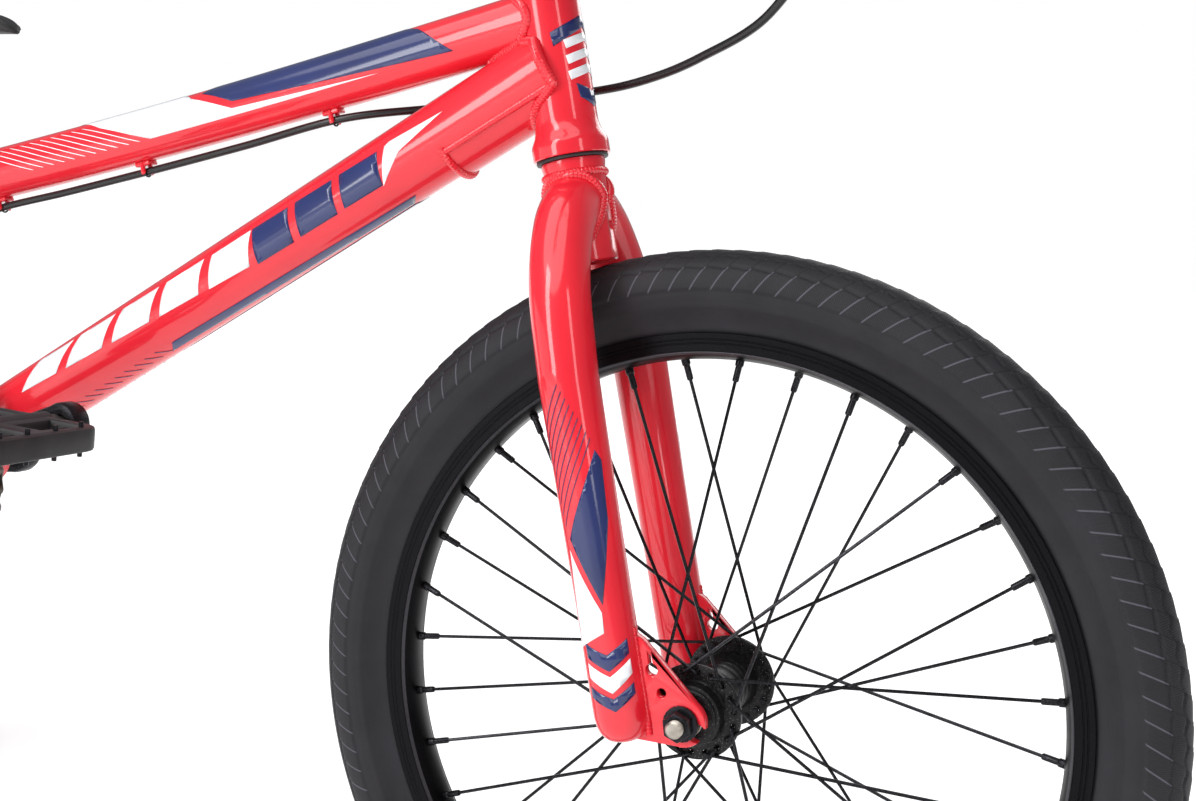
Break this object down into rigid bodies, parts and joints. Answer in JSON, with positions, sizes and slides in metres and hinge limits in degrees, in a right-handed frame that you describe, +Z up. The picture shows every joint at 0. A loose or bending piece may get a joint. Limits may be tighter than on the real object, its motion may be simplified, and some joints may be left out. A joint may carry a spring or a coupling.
{
  "type": "bmx bicycle",
  "caption": "BMX race bicycle with spoked wheels, steered fork and high-rise bar, cranks, pedals, chain, sliding saddle post and a cable-worked rear rim brake.",
  "frame": {"origin": "on the ground, below the middle of the wheelbase", "axes": "+X forward, +Y to the rider's left, +Z up"},
  "size_m": [1.465, 0.7222, 0.9174],
  "materials": {
    "frame_paint": "gloss coral-red enamel with navy and white graphics",
    "black_anodised": "black anodised, satin",
    "black_spoke": "black stainless wire, semi-gloss",
    "bare_steel": "bare machined steel",
    "chain_steel": "oiled steel",
    "tyre_rubber": "moulded black rubber",
    "grip_rubber": "soft ribbed rubber",
    "black_plastic": "moulded nylon, fine grain",
    "cable_housing": "extruded black liner",
    "saddle_cover": "stretched synthetic leather"
  },
  "bodies": {
    "frame": {"head_tube": "frame_paint", "headset_lower_bearing": "bare_steel", "headset_upper_bearing": "bare_steel", "bottom_bracket_shell": "frame_paint", "bottom_bracket_cartridge": "black_anodised", "seat_tube": "frame_paint", "down_tube": "frame_paint", "top_tube": "frame_paint", "seat_clamp": "black_anodised", "chainstay_left": "frame_paint", "chainstay_right": "frame_paint", "seatstay_left": "frame_paint", "seatstay_right": "frame_paint", "rear_axle": "bare_steel", "rear_axle_nut_left": "black_anodised", "rear_axle_nut_right": "black_anodised", "brake_cable_housing": "cable_housing", "chain": "chain_steel"},
    "seat": {"seat_post": "black_anodised", "saddle": "saddle_cover", "saddle_rails": "bare_steel"},
    "steering": {"fork": "frame_paint", "crown_seal": "black_plastic", "headset_cover": "black_anodised", "headset_spacer": "black_anodised", "stem": "black_anodised", "stem_faceplate": "black_anodised", "stem_top_cap": "black_anodised", "handlebar": "black_anodised", "grip_left": "grip_rubber", "grip_right": "grip_rubber", "brake_lever_bracket": "black_anodised", "front_axle": "bare_steel", "front_axle_nut_left": "black_anodised", "front_axle_nut_right": "black_anodised"},
    "brake_lever": {"brake_lever": "black_anodised"},
    "front_wheel": {"front_hub": "black_anodised", "front_spokes_left": "black_spoke", "front_spokes_right": "black_spoke", "front_rim": "black_anodised", "front_tyre": "tyre_rubber", "front_valve": "black_plastic"},
    "rear_wheel": {"rear_hub": "black_anodised", "rear_spokes_left": "black_spoke", "rear_spokes_right": "black_spoke", "rear_rim": "black_anodised", "rear_tyre": "tyre_rubber", "rear_valve": "black_plastic"},
    "freewheel": {"freewheel": "chain_steel"},
    "crank": {"crank_arm_left": "black_anodised", "crank_arm_right": "black_anodised", "crank_spindle": "bare_steel", "chainring": "black_anodised", "pedal_spindle_left": "bare_steel", "pedal_spindle_right": "bare_steel"},
    "pedal_left": {"pedal_left": "black_plastic"},
    "pedal_right": {"pedal_right": "black_plastic"},
    "brake_arm_left": {"brake_arm_left": "black_anodised"},
    "brake_arm_right": {"brake_arm_right": "black_anodised"}
  },
  "joints": [
    {"name": "steering", "type": "hinge", "parent": "frame", "child": "steering", "pos_m": [0.35722, 0, 0.55185], "axis": [-0.2756, 0, 0.9613], "range_deg": [-60, 60], "deforming": ["brake_cable_housing"]},
    {"name": "front_wheel_spin", "type": "hinge", "parent": "steering", "child": "front_wheel", "pos_m": [0.4775, 0, 0.255], "axis": [0, 1, 0], "continuous": true},
    {"name": "rear_wheel_spin", "type": "hinge", "parent": "frame", "child": "rear_wheel", "pos_m": [-0.4775, 0, 0.255], "axis": [0, 1, 0], "continuous": true},
    {"name": "crank_spin", "type": "hinge", "parent": "frame", "child": "crank", "pos_m": [-0.1105, 0, 0.3], "axis": [0, 1, 0], "continuous": true},
    {"name": "freewheel_spin", "type": "hinge", "parent": "frame", "child": "freewheel", "pos_m": [-0.4775, 0, 0.255], "axis": [0, 1, 0], "continuous": true},
    {"name": "pedal_left_spin", "type": "hinge", "parent": "crank", "child": "pedal_left", "pos_m": [-0.27597, 0, 0.24303], "axis": [0, 1, 0], "continuous": true},
    {"name": "pedal_right_spin", "type": "hinge", "parent": "crank", "child": "pedal_right", "pos_m": [0.05497, 0, 0.35697], "axis": [0, 1, 0], "continuous": true},
    {"name": "brake_lever_pull", "type": "hinge", "parent": "steering", "child": "brake_lever", "pos_m": [0.32912, -0.21688, 0.88855], "axis": [-0.3246, 0.078, -0.9426], "range_deg": [0, 17], "stiffness_Nm_per_rad": 0.8, "springref_deg": -8.59},
    {"name": "brake_arm_left_swing", "type": "hinge", "parent": "frame", "child": "brake_arm_left", "pos_m": [-0.345, 0.04, 0.37502], "axis": [0.5459, 0, -0.8378], "range_deg": [0, 5.2]},
    {"name": "brake_arm_right_swing", "type": "hinge", "parent": "frame", "child": "brake_arm_right", "pos_m": [-0.345, -0.04, 0.37502], "axis": [-0.5459, 0, 0.8378], "range_deg": [0, 5.2]},
    {"name": "seat_post_slide", "type": "slide", "parent": "frame", "child": "seat", "axis": [-0.3256, 0, 0.9455], "range_m": [-0.03, 0.03]}
  ],
  "couplings": [
    {"joint": "freewheel_spin", "follows": "crank_spin", "ratio": 2.75},
    {"joint": "brake_arm_left_swing", "follows": "brake_lever_pull", "ratio": 0.3},
    {"joint": "brake_arm_right_swing", "follows": "brake_lever_pull", "ratio": 0.3}
  ]
}
